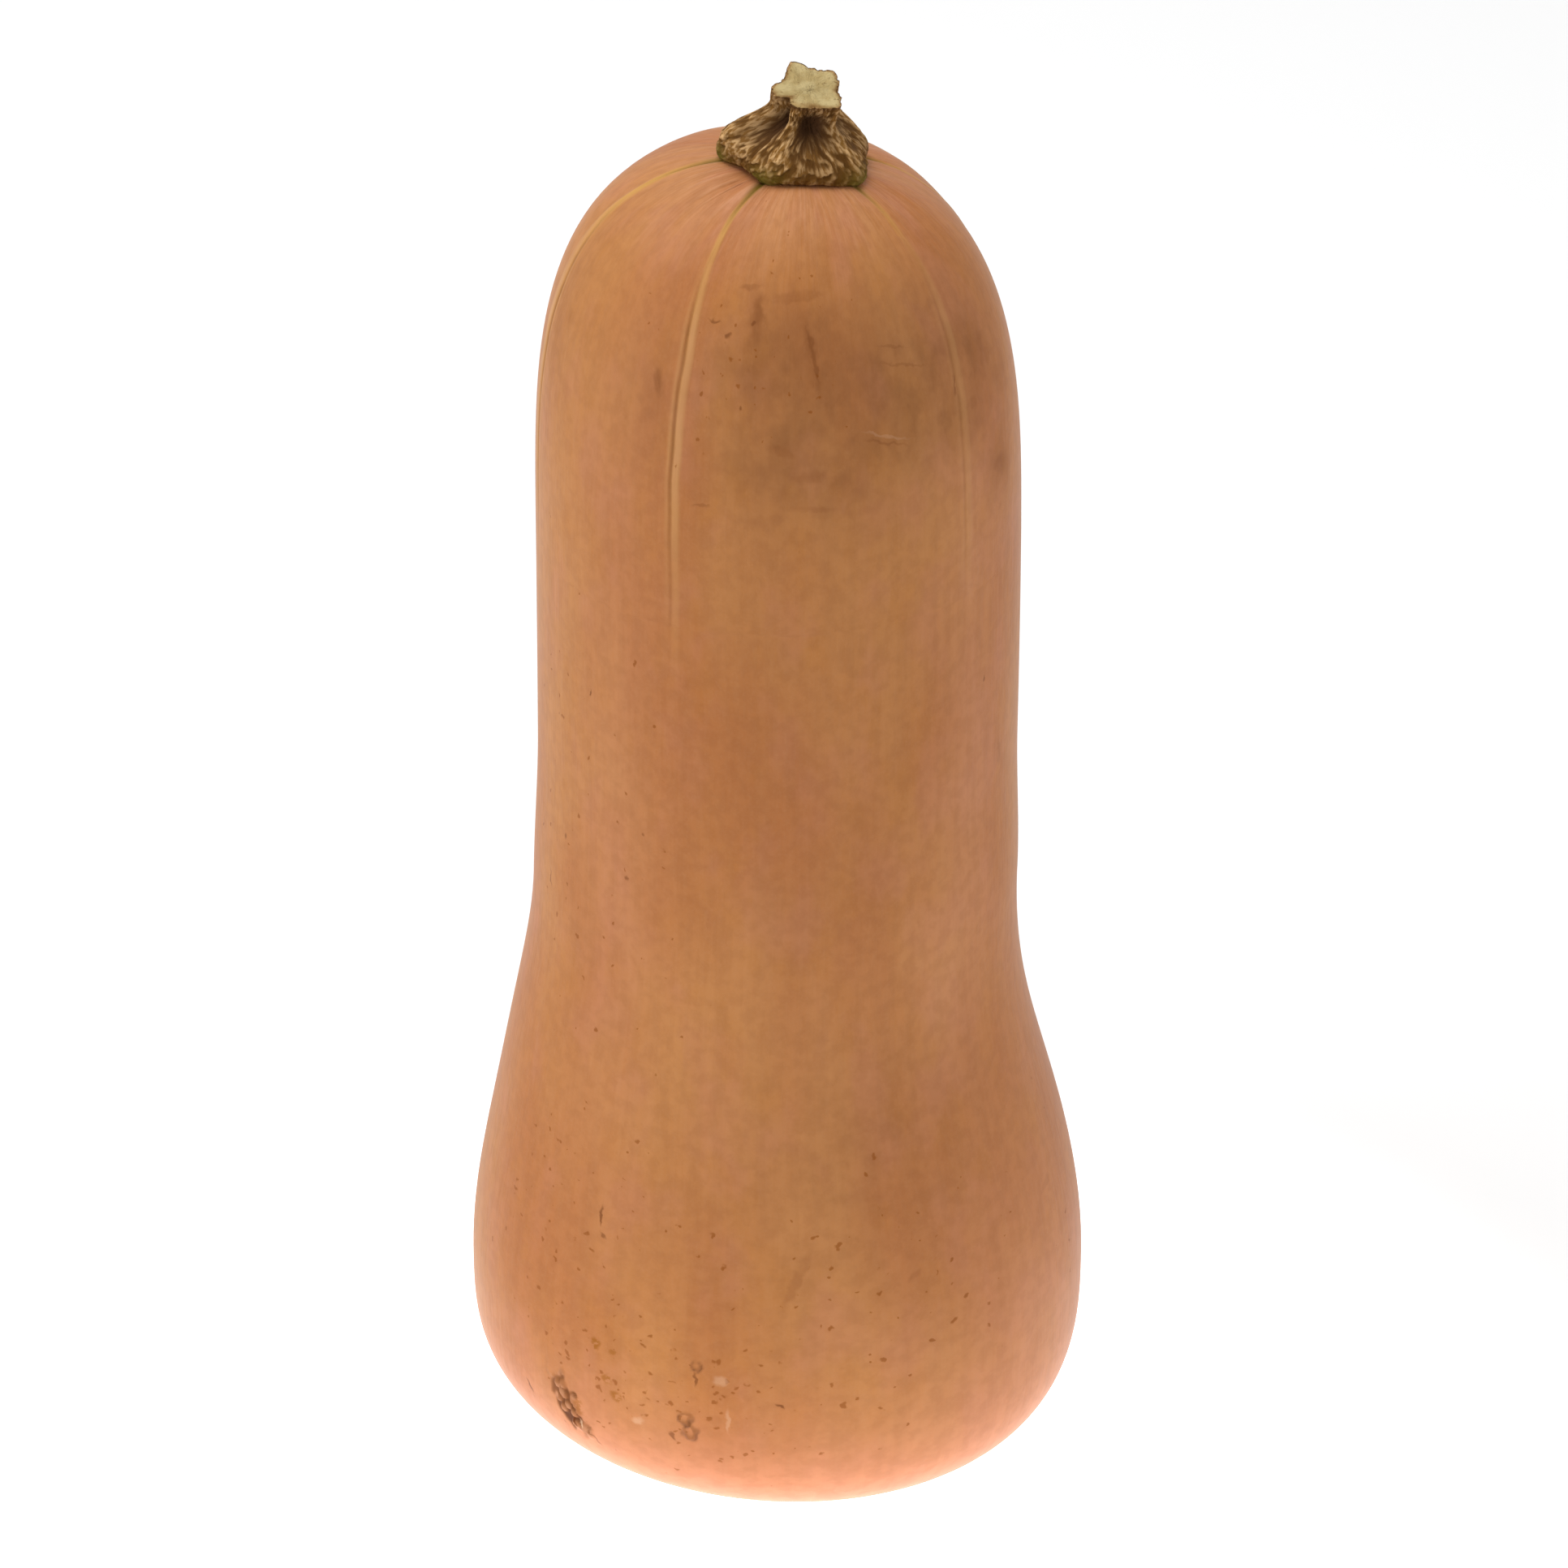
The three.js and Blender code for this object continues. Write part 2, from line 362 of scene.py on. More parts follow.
def grid_mesh(name, points, layers, vectors):
    """A closed mesh from rows of points that go round, with a fan to a pole at each end. layers and
    vectors hold one value for each point of the grid, which the mesh keeps as attributes."""
    rows, columns = points.shape[:2]
    count = rows * columns
    index = np.arange(count).reshape(rows, columns)
    right = np.roll(index, -1, axis=1)
    quads = np.stack([index[:-1], right[:-1], right[1:], index[1:]], axis=-1).reshape(-1, 4)
    low = np.stack([right[0], index[0], np.full(columns, count)], axis=-1)
    high = np.stack([index[-1], right[-1], np.full(columns, count + 1)], axis=-1)

    def with_poles(grid):
        flat = grid.reshape(count, -1)
        return np.concatenate([flat, flat[:columns].mean(0)[None], flat[-columns:].mean(0)[None]])

    mesh = bpy.data.meshes.new(name)
    mesh.vertices.add(count + 2)
    mesh.vertices.foreach_set("co", with_poles(points).astype(np.float32).ravel())
    corners = np.concatenate([quads.ravel(), low.ravel(), high.ravel()])
    starts = np.concatenate([np.arange(len(quads)) * 4, len(quads) * 4 + np.arange(2 * columns) * 3])
    mesh.loops.add(len(corners))
    mesh.loops.foreach_set("vertex_index", corners.astype(np.int32))
    mesh.polygons.add(len(starts))
    mesh.polygons.foreach_set("loop_start", starts.astype(np.int32))
    mesh.polygons.foreach_set("use_smooth", np.ones(len(starts), bool))
    mesh.update(calc_edges=True)
    for kind, field, grids in (("FLOAT", "value", layers), ("FLOAT_VECTOR", "vector", vectors)):
        for layer, grid in grids.items():
            attribute = mesh.attributes.new(layer, kind, "POINT")
            attribute.data.foreach_set(field, with_poles(grid).astype(np.float32).ravel())
    add_map(mesh, corners, rows, columns)
    return mesh


def add_map(mesh, corners, rows, columns):
    """A UV map that gives each face an equal share: column across and row up."""
    row, column = np.divmod(np.minimum(corners, rows * columns - 1), columns)
    pole = corners >= rows * columns
    row = np.where(corners == rows * columns, -1, np.where(corners > rows * columns, rows, row))
    starts = np.empty(len(mesh.polygons), np.int32)
    totals = np.empty(len(mesh.polygons), np.int32)
    mesh.polygons.foreach_get("loop_start", starts)
    mesh.polygons.foreach_get("loop_total", totals)
    face = np.repeat(np.arange(len(starts)), totals)
    column = column.astype(float)
    around = np.where(pole, -1.0, column)
    widest = np.zeros(len(starts))
    np.maximum.at(widest, face, around)
    column = np.where((column == 0) & (widest[face] > columns / 2), columns, column)
    ring = np.where(pole, 0.0, column)
    middle = np.bincount(face, ring) / np.maximum(np.bincount(face, ~pole), 1)
    column = np.where(pole, middle[face], column)
    uv = np.stack([column / columns, (row + 1.0) / (rows + 1.0)], axis=-1)
    mesh.uv_layers.new(name="OFBake").data.foreach_set("uv", uv.astype(np.float32).ravel())


def new_object(name, data):
    """An object that shows data, linked to the scene."""
    made = bpy.data.objects.new(name, data)
    bpy.context.scene.collection.objects.link(made)
    return made


def add_piece(mesh, node, material):
    """Links a mesh as the piece that shows a CAD node."""
    mesh.materials.append(material)
    piece = new_object(mesh.name, mesh)
    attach(piece, "root")
    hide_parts(node)
    return piece


RIND_COLUMNS, RIND_ROWS = 400, 248   # just under 200,000 triangles


def fruit_mesh(size):
    """The rind: the fruit's surface pushed out along its normals by the sum of its reliefs. Columns crowd
    towards the front, the veins and the scars, and rows towards the foot's rim, the scars and the crown."""
    outline = Outline(size)
    top = outline.along[-1]
    crowds = [(0, 75, 1.0)] + [(turn_between(a, 0), 2.0, 5.0) for a, *_ in VEINS]
    crowds += [(LONG_SCAR[0], 4.5, 7.0), (-16, 3.5, 5.0)]
    azimuth = crowded(RIND_COLUMNS + 1, -180.0, 180.0, crowds)[:-1]
    rows = [(outline.at_height(28 * MM), 10 * MM, 5.0), (outline.at_height(42 * MM), 3 * MM, 2.5)]
    rows += [(top - 14 * MM, 11 * MM, 2.5), (8 * MM, 6 * MM, 1.0)]
    along = crowded(RIND_ROWS, 0.6 * MM, top - 1.5 * MM, rows)
    azimuth, along = np.meshgrid(azimuth, along)
    points = outline.surface(azimuth, along)
    radius = np.interp(along, outline.along, outline.r)
    height = np.interp(along, outline.along, outline.z)
    veins, band, line, green, rib = vein_relief(outline, azimuth, along, radius)
    scars, cork, crack, crumb = scar_relief(outline, azimuth, along)
    flutes, wrinkle = crown_relief(outline, azimuth, along)
    relief = veins + scars + flutes + broad_relief(azimuth, height)
    footless = smooth((radius - size.foot_radius) / (6 * MM))
    relief = relief * np.where(height < size.bulb_height, footless, 1)
    points = points + outward(points) * relief[..., None]
    turn = np.radians(azimuth)
    growth = np.stack([np.sin(turn), -np.cos(turn), along / size.neck_radius], axis=-1) * size.neck_radius
    layers = {
        "vein_band": band, "vein_line": line, "vein_green": green, "cork": cork, "crack": crack,
        "crumb": crumb, "rib": rib,
        # The grime patches hold rubbed skin and also painted shade on the front of the fruit.
        "grime_and_shade": patches(azimuth, height, GRIME_AND_SHADE_PATCHES),
        "specks": patches(azimuth, height, SPECK_PATCHES),
        # The pale patches paint sheen and light bounced from the floor as paler skin.
        "pale": patches(azimuth, height, SHEEN_AND_BOUNCE_PATCHES), "wrinkle": wrinkle,
        # The rosy band paints light bounced up from the floor: paler and pinker towards the foot.
        "rosy": 1 - smooth((height - 4 * MM) / (38 * MM)),
        "crown": 1 - smooth((top - along - 8 * MM) / (30 * MM)),
        "blossom": (1 - smooth((radius - 3.2 * MM) / (1.4 * MM))) * (along < size.foot_radius),
    }
    return grid_mesh("rind", points, layers, {"growth": growth / MM})


# ---- the stem stub ----

# Outlines of the collar and of the cut face: radius in millimetres at azimuths round the stem.
COLLAR_OUTLINE = ((-84, 13.7), (-56, 11.5), (-28, 12.4), (12, 11.8), (52, 13.3), (88, 11.0), (122, 12.6),
                  (160, 11.0), (200, 12.8), (240, 11.4))
FACE_OUTLINE = ((-97, 6.4), (-80, 6.4), (-60, 4.6), (-30, 5.5), (13, 5.6), (45, 6.9), (63, 6.0), (90, 5.0),
                (125, 6.0), (143, 7.0), (174, 5.9), (204, 7.3), (234, 5.8))
LIFTED_RIDGE = RIDGES[4]             # the cut tore up here and left a raised lip
STEM_COLUMNS = 430


def around(azimuth, outline):
    """Radius at an azimuth, by smoothsteps from each place listed in outline to the next."""
    places = np.array([a for a, _ in outline] + [outline[0][0] + 360.0])
    radii = np.array([r for _, r in outline] + [outline[0][1]]) * MM
    turned = (azimuth - places[0]) % 360.0 + places[0]
    k = np.clip(np.searchsorted(places, turned, side="right") - 1, 0, len(outline) - 1)
    share = smooth((turned - places[k]) / (places[k + 1] - places[k]))
    return radii[k] + (radii[k + 1] - radii[k]) * share


def ridge_share(azimuth, width):
    """1 on each ridge of the stem, falling to 0 between them."""
    return np.clip(sum(bell(turn_between(azimuth, a), width) for a in RIDGES), 0, 1)


def stem_section(size, azimuth, h):
    """Radius of the stub at a height over its foot. It goes from the collar's outline to the cut face's by
    a smoothstep that starts high on the fullest ridge and ends low over the front, less the hollows that
    sink in under the cut between the ridges."""
    full = bell(turn_between(azimuth, RIDGES[0]), 40)
    pinch = bell(turn_between(azimuth, 17), 28) + 0.6 * bell(turn_between(azimuth, -56), 15)
    start = (1.8 + 3.3 * full) * MM
    end = size.flare_height + (1.5 * full - 2.2 * pinch) * MM
    flare = 1 - smooth((h - start) / (end - start))
    collar = around(azimuth, COLLAR_OUTLINE) * size.collar_radius / (11.9 * MM)
    face = around(azimuth, FACE_OUTLINE) * size.stalk_radius / (5.9 * MM)
    between = 1 - ridge_share(azimuth, 17)
    hollow = np.clip(between + 0.6 * pinch, 0, 1.4) * bell(h - 8.4 * MM, 3.0 * MM)
    bulge = 0.45 * MM * bell(h - 2.4 * MM, 1.8 * MM)
    under = (1 - smooth(h / (1.3 * MM))) * (0.5 + 1.3 * between) * MM
    return face + (collar - face) * flare + bulge - size.hollow_depth * hollow - under, hollow


def wrinkles(azimuth, h, size):
    """Long wrinkles about a millimetre apart, 0 in a groove and 1 on a crest. They wander sideways, fork,
    and break into beads, most of all low on the collar."""
    u, v = azimuth / 360, h / size.stem_height
    wander = 0.014 * noise(u, v, 14, 7, 41) + 0.008 * noise(u, v, 40, 13, 42)
    long = noise(u + wander, v * 0.5, 72, 2, 43) + 0.5 * noise(u + wander, v, 110, 6, 44)
    beads = 0.9 * noise(u + wander, v, 90, 16, 45) + 0.45 * noise(u, v, 140, 30, 46)
    loose = 0.55 + 0.45 * smooth((v - 0.25) / 0.35)
    return smooth(0.5 + 0.75 * (long * loose + beads))


def stem_mesh(size, outline):
    """The stub: rows climb from under the collar, over the flare to the cut's edge, and in to the middle
    of the cut face."""
    azimuth = np.linspace(-180, 180, STEM_COLUMNS, endpoint=False)
    floor = np.linspace(0.15, 1, 8)[:-1]
    body = crowded(150, 0.0, 1.0, [(0.1, 0.12, 0.8), (1.0, 0.08, 2.0)])
    face = np.linspace(1, 0.02, 62)[1:]
    rise = np.concatenate([0 * floor, body, 0 * face + 1])
    inward = np.concatenate([floor, 0 * body + 1, face])
    cut = np.concatenate([0 * floor, 0 * body, 0 * face + 1])
    azimuth, rise = np.meshgrid(azimuth, rise)
    inward, cut = inward[:, None] + 0 * azimuth, cut[:, None] + 0 * azimuth
    h = rise * size.stem_height
    radius, hollow = stem_section(size, azimuth, h)
    crest = wrinkles(azimuth, h, size)
    depth = MM * (0.65 - 0.35 * smooth(rise / 0.9)) * (0.3 + 0.7 * smooth((h - 1 * MM) / (2.5 * MM)))
    rim_rough = noise(azimuth / 360, rise, 44, 8, 47) + 0.7 * noise(azimuth / 360, rise, 23, 4, 48)
    radius = radius + depth * (crest - 0.6) * (1 - cut) + 0.26 * MM * rim_rough * smooth((rise - 0.8) / 0.2)
    plan = radius * inward
    turn = np.radians(azimuth)
    x = STEM_X + size.lean * rise ** 1.3 + plan * np.sin(turn)
    y = -plan * np.cos(turn)
    seat = outline.dome_height(x, y) - 0.35 * MM
    level = outline.dome_height(STEM_X, 0.0) - 0.2 * MM + size.cut_slope * y
    z = seat + (level - seat) * smooth(rise) + h
    top = smooth((inward - 0.45) / 0.5) * smooth((rise - 0.8) / 0.2)
    lip = top * bell(turn_between(azimuth, LIFTED_RIDGE), 24)
    grain = noise(azimuth / 360, inward, 30, 9, 51) + 0.5 * noise(azimuth / 360, inward, 70, 16, 52)
    rounded = cut * (smooth((1 - inward) / 0.12) - 0.6) * 0.25 * MM
    z = z + 1.2 * MM * lip + cut * 0.10 * MM * grain * smooth((1 - inward) / 0.3) + rounded
    points = np.stack([x, y, z], axis=-1)
    foot = 1 - smooth((h - 0.6 * MM) / (3.8 * MM))
    layers = {
        # The hollow amount also paints shade into the hollows under the cut's overhanging rim.
        "crest": crest, "hollow": hollow * (1 - cut),
        "cut": cut * smooth((1 - inward) / 0.06), "edge": smooth((rise - 0.9) / 0.1) * (1 - cut),
        "rim": cut * bell((1 - inward) * radius / MM, 0.6 + 0.8 * bell(turn_between(azimuth, -25), 45)),
        "green": ridge_share(azimuth, 14) * foot,
        "low": 1 - smooth((h - 1.2 * MM) / (4.4 * MM)),
    }
    along = h + (1 - inward) * cut * radius
    growth = np.stack([np.sin(turn), -np.cos(turn), along / size.collar_radius], axis=-1)
    return grid_mesh("stem", points, layers, {"growth": growth * size.collar_radius / MM})


# ---- materials ----


def add_node(tree, kind, inputs, **settings):
    """Adds one shader node. settings are its properties; an input is a value, or a socket to link."""
    node = tree.nodes.new(kind)
    for name, value in settings.items():
        setattr(node, name, value)
    for name, value in inputs.items():
        if isinstance(value, bpy.types.NodeSocket):
            tree.links.new(value, node.inputs[name])
        else:
            node.inputs[name].default_value = value
    return node


def product(tree, first, *rest):
    """The product of two or more amounts."""
    for factor in rest:
        first = add_node(tree, "ShaderNodeMath", {0: first, 1: factor}, operation="MULTIPLY").outputs[0]
    return first


def between(tree, mask, low, high):
    """A mask made to run from low to high, where it ran from 0 to 1."""
    return add_node(tree, "ShaderNodeMapRange", {0: mask, 3: low, 4: high}).outputs[0]


def paint(colour):
    """A colour as a shader's input takes it. It may be a socket, a setting, or sRGB hex."""
    if isinstance(colour, bpy.types.NodeSocket):
        return colour
    return (*(linear(colour) if isinstance(colour, str) else colour), 1.0)


def layered(tree, base, layers):
    """Lays colours over base in turn. A layer is its colour, after the amounts whose product is how much of
    it shows."""
    base = paint(base)
    for *amounts, colour in layers:
        mixed = add_node(tree, "ShaderNodeMix", {0: product(tree, *amounts), 6: base, 7: paint(colour)},
                         data_type="RGBA")
        base = mixed.outputs[2]
    return base


def shares(tree, names):
    """The amounts that a mesh keeps for each point, by name."""
    return {name: add_node(tree, "ShaderNodeAttribute", {}, attribute_name=name).outputs["Fac"]
            for name in names}


EVEN = (1.0, 1.0, 1.0)


def masks(tree, vector, table):
    """Noise masks by name. Each row is the stretch of the pattern, its repeats per millimetre, its detail,
    and the two noise values between which the mask goes from 0 to 1. An even pattern is turned, so that its
    lattice never lines up with the surface."""
    made = {}
    for name, (stretch, scale, detail, low, high) in table.items():
        turn = (0.5, 0.6, 0.4) if stretch == EVEN else (0.0, 0.0, 0.0)
        place = add_node(tree, "ShaderNodeMapping", {"Vector": vector, "Scale": stretch, "Rotation": turn})
        cloud = add_node(tree, "ShaderNodeTexNoise", {"Vector": place.outputs[0], "Scale": scale,
                                                      "Detail": detail})
        made[name] = add_node(tree, "ShaderNodeMapRange", {0: cloud.outputs[0], 1: low, 2: high},
                              interpolation_type="SMOOTHSTEP").outputs[0]
    return made


MARK_DEPTH = 8 * MM                  # a mark's half size through the rind


def strokes(tree, place, outline, table):
    """The strongest of several soft-edged ellipses on the rind. Each is its azimuth, height, half length
    across, half width up, tilt and strength."""
    total = 0.0
    for azimuth, height, half_length, half_width, tilt, strength in table:
        centre = outline.surface(np.array(azimuth), outline.at_height(height * MM))
        turn = (0.0, math.radians(tilt), math.radians(azimuth))
        local = add_node(tree, "ShaderNodeMapping", {
            "Vector": place, "Location": Vector(centre), "Rotation": turn,
            "Scale": (half_length * MM, MARK_DEPTH, half_width * MM)}, vector_type="TEXTURE")
        reach = add_node(tree, "ShaderNodeVectorMath", {0: local.outputs[0]}, operation="LENGTH")
        soft = add_node(tree, "ShaderNodeMapRange", {0: reach.outputs["Value"], 1: 1.0, 2: 0.35,
                                                     4: strength}, interpolation_type="SMOOTHSTEP")
        total = add_node(tree, "ShaderNodeMath", {0: total, 1: soft.outputs[0]},
                         operation="MAXIMUM").outputs[0]
    return total


# Marks on the rind: azimuth, height, half length across and half width up in millimetres, tilt, strength.
SMUDGES = (
    (-6.5, 237, 2.0, 5.5, 0, 0.75),
    (9, 231.5, 1.3, 8.0, -9, 0.7),
    (2, 240.5, 8.0, 1.0, -4, 0.5),
    (-31.5, 224.5, 1.6, 3.6, -14, 0.85),
    (1, 216, 3.2, 1.2, 20, 0.5),
    (8, 211.5, 4.0, 1.6, -8, 0.5),
    (8, 205.5, 5.0, 0.8, 4, 0.45),
    (49, 221.5, 0.8, 2.6, 8, 0.65),
    (56, 217, 1.0, 2.2, -8, 0.5),
    (66, 202.5, 2.4, 2.6, 0, 0.6),
    (66.5, 146, 0.7, 3.4, 0, 0.5),
    (4, 60, 1.3, 9.0, 24, 0.4),
    (27, 57.5, 2.2, 0.8, -30, 0.5),
    (67, 60.5, 3.0, 1.2, -20, 0.4),
    (148, 205, 3.0, 6.0, 10, 0.6),
    (206, 92, 6.0, 2.0, 12, 0.5),
    (-122, 160, 1.2, 9.0, 8, 0.5),
)
DARK_MARKS = (
    (-39.6, 24.6, 0.5, 1.2, -20, 1.2),
    (-41.3, 22.8, 0.5, 1.6, -28, 1.2),
    (-37.0, 20.4, 0.35, 2.6, -48, 0.6),
    (9.3, 232, 0.5, 7.0, -8, 0.42),
    (-6.4, 238, 1.2, 3.6, 8, 0.28),
    (-9.5, 241.5, 2.6, 0.6, -6, 0.35),
    (-31.5, 225, 0.5, 2.2, -14, 0.25),
    (49.5, 222, 0.4, 2.4, 8, 0.5),
    (-7, 236.5, 0.6, 0.6, 0, 0.8),
    (-14, 234, 0.7, 0.6, 0, 0.8),
    (-9, 223, 0.5, 0.5, 0, 0.7),
    (-18.5, 236, 1.8, 0.35, 3, 0.7),
    (-18, 205, 2.3, 0.35, -4, 0.4),
    (31.5, 232, 3.6, 0.35, 15, 0.3),
    (34, 228.6, 6.6, 0.4, 16, 0.3),
    (27, 216, 5.6, 0.4, 19, 0.35),
    (-50, 163, 0.35, 1.1, 10, 0.9),
    (-60, 131.5, 0.4, 0.8, 0, 0.7),
    (-67, 121, 0.35, 2.6, -14, 0.7),
    (-37.5, 130, 0.6, 0.6, 0, 0.7),
    (-33, 139.5, 0.5, 0.5, 0, 0.6),
    (59, 163, 0.4, 0.7, 0, 0.8),
    (-36.8, 66, 0.4, 2.4, -8, 0.9),
    (-36, 62.6, 1.0, 0.4, 30, 0.7),
    (-54, 25, 0.45, 2.0, -30, 0.9),
    (0.5, 35.6, 1.3, 0.35, 40, 0.9),
    (-15.2, 39.8, 0.4, 2.0, 0, 0.8),
    (-19.5, 27, 0.5, 1.2, -40, 0.8),
    (133, 161, 0.5, 0.6, 0, 0.8),
    (171, 61, 0.5, 2.0, 22, 0.8),
    (228, 132, 0.4, 1.0, 0, 0.8),
    (251, 76, 0.7, 0.6, 0, 0.7),
    (188, 214, 0.5, 0.5, 0, 0.7),
    (112, 93, 2.4, 0.4, -12, 0.6),
)
YELLOW_SCABS = (
    (-35.5, 42, 1.3, 1.7, -20, 0.9),
    (-31.8, 41.4, 1.1, 0.7, 0, 0.7),
    (-33, 35.6, 1.5, 1.6, -25, 0.8),
    (-31, 32.6, 1.5, 1.5, -25, 0.8),
    (-40, 27.2, 1.6, 2.6, -25, 0.6),
    (214, 46, 1.5, 1.4, 0, 0.8),
    (219, 41, 0.8, 1.0, 0, 0.7),
)
PALE_MARKS = (
    (-39.6, 23.0, 0.5, 1.2, -28, 1.4),
    (27, 217.2, 5.8, 0.4, 19, 0.28),
    (-26.5, 28.7, 1.7, 1.0, 0, 0.7),
    (-10.5, 40, 1.9, 1.3, 0, 0.55),
    (-9, 32, 0.5, 3.4, 0, 0.5),
    (160, 121, 4.5, 0.5, -8, 0.5),
)


def new_material(name):
    """A material with an empty node tree, and the tree."""
    material = bpy.data.materials.new(name)
    material.use_nodes = True
    material.node_tree.nodes.clear()
    return material, material.node_tree


def rind_material(colours, outline):
    """Ripe butternut skin: a thin waxy cuticle on tan rind. It gives a dull satin gloss, faint streaks that
    follow the growth from stem to blossom, and soft mottling."""
    material, tree = new_material("waxy_rind")
    growth = add_node(tree, "ShaderNodeAttribute", {}, attribute_name="growth").outputs["Vector"]
    place = add_node(tree, "ShaderNodeTexCoord", {}).outputs["Object"]
    share = shares(tree, ("vein_band", "vein_line", "vein_green", "rib", "cork", "crack", "crumb", "grime_and_shade",
                          "specks", "pale", "wrinkle", "rosy", "crown", "blossom"))
    cloud = masks(tree, growth, {
        "broad": ((1, 1, 0.4), 0.035, 2.0, 0.35, 0.65),
        "rosy": ((1, 1, 0.6), 0.11, 3.0, 0.46, 0.70),
        "ochre": ((1, 1, 0.5), 0.16, 3.0, 0.48, 0.72),
        "streak": ((1, 1, 0.06), 0.45, 3.0, 0.35, 0.68),
        "fine_streak": ((1, 1, 0.12), 1.1, 2.0, 0.3, 0.7),
        "mottle": (EVEN, 0.42, 4.0, 0.36, 0.66),
        "grit": (EVEN, 2.0, 3.0, 0.4, 0.75),
        "flaky": (EVEN, 1.1, 4.0, 0.40, 0.50),
        "smear": ((1, 1, 0.7), 0.17, 5.0, 0.34, 0.62),
        "worn": ((1, 1, 0.8), 0.26, 4.0, 0.46, 0.64),
    })
    waver = add_node(tree, "ShaderNodeTexNoise", {"Vector": growth, "Scale": 0.6, "Detail": 2.5})
    ragged = add_node(tree, "ShaderNodeVectorMath", {0: waver.outputs["Color"], 1: (0.5, 0.5, 0.5)},
                      operation="SUBTRACT")
    ragged = add_node(tree, "ShaderNodeVectorMath", {0: ragged.outputs[0], 1: (1.8 * MM,) * 3, 2: place},
                      operation="MULTIPLY_ADD").outputs[0]
    smudge, dark, scab, pale = (strokes(tree, ragged, outline, table)
                                for table in (SMUDGES, DARK_MARKS, YELLOW_SCABS, PALE_MARKS))
    frayed = add_node(tree, "ShaderNodeVectorMath", {0: waver.outputs["Color"], 1: (2.2,) * 3, 2: growth},
                      operation="MULTIPLY_ADD").outputs[0]
    cells = add_node(tree, "ShaderNodeTexVoronoi", {"Vector": frayed, "Scale": 0.6, "Randomness": 1.0})
    chance = add_node(tree, "ShaderNodeSeparateColor", {0: cells.outputs["Color"]})
    room = add_node(tree, "ShaderNodeMath", {0: chance.outputs[0], 1: share["specks"]},
                    operation="LESS_THAN").outputs[0]
    size = between(tree, chance.outputs[1], 0.08, 0.36)
    dot = add_node(tree, "ShaderNodeMath", {0: cells.outputs["Distance"], 1: size}, operation="DIVIDE")
    dot = add_node(tree, "ShaderNodeMapRange", {0: dot.outputs[0], 1: 1.0, 2: 0.5},
                   interpolation_type="SMOOTHSTEP")
    speck = product(tree, dot.outputs[0], room, 0.7)
    # The grime mask carries painted shade on the front as well as rubbed skin.
    grime_and_shade = product(tree, share["grime_and_shade"], between(tree, cloud["smear"], 0.62, 1.0))
    colour = layered(tree, colours.rind, [
        (cloud["broad"], colours.rind_light),
        (cloud["rosy"], 0.35, colours.rind_rosy),
        (cloud["ochre"], 0.35, colours.rind_ochre),
        (share["crown"], between(tree, cloud["rosy"], 0.35, 1.0), 0.55, colours.rind_rosy),
        # Painted floor bounce light: paler and pinker towards the foot.
        (share["rosy"], 0.8, "#c67f62"),
        # Painted sheen and painted floor bounce light.
        (share["pale"], 0.4, colours.rind_sheen_and_bounce),
        (share["wrinkle"], 0.45, "#d9a27c"),
        (cloud["streak"], 0.09, "#7b4b26"),
        (cloud["fine_streak"], 0.05, "#c2946c"),
        (share["crown"], cloud["fine_streak"], 0.22, "#dba47e"),
        (cloud["mottle"], 0.20, "#8e5630"),
        (cloud["grit"], 0.08, "#bb8c64"),
        # Darker grime colours: rubbed skin, and painted shade on the front of the fruit.
        (grime_and_shade, 0.44, colours.grime_and_shade),
        (grime_and_shade, cloud["worn"], 0.16, "#62391c"),
        (smudge, between(tree, cloud["smear"], 0.4, 1.0), 0.7, "#824d27"),
        (share["vein_band"], between(tree, cloud["fine_streak"], 0.7, 1.0), 0.85, colours.vein),
        (share["rib"], 0.5, "#c69569"),
        (share["vein_line"], 0.85, colours.vein_line),
        (share["vein_green"], 0.7, colours.vein_green),
        (scab, cloud["flaky"], 0.9, "#925610"),
        (speck, "#87480f"),
        (share["cork"], 0.8, colours.cork),
        (share["crumb"], 0.6, "#b27e5c"),
        (share["crack"], 0.97, "#451d08"),
        (dark, 0.8, "#693612"),
        (pale, 0.6, "#d2a987"),
        (share["blossom"], "#5b432d"),
    ])
    dull = add_node(tree, "ShaderNodeMath", {0: grime_and_shade, 1: share["cork"]}, operation="MAXIMUM").outputs[0]
    rough = between(tree, dull, 0.42, 0.66)
    bumps = add_node(tree, "ShaderNodeMath", {0: cloud["mottle"], 1: cloud["fine_streak"]},
                     operation="ADD").outputs[0]
    bump = add_node(tree, "ShaderNodeBump", {"Height": bumps, "Strength": 0.35, "Distance": 0.05 * MM})
    finish(tree, colour, rough, bump.outputs[0], ior=1.19)
    return material


def finish(tree, colour, rough, normal, ior):
    """The surface shader and the output."""
    shader = add_node(tree, "ShaderNodeBsdfPrincipled", {"Base Color": colour, "Roughness": rough,
                                                         "Normal": normal, "IOR": ior})
    add_node(tree, "ShaderNodeOutputMaterial", {"Surface": shader.outputs[0]})


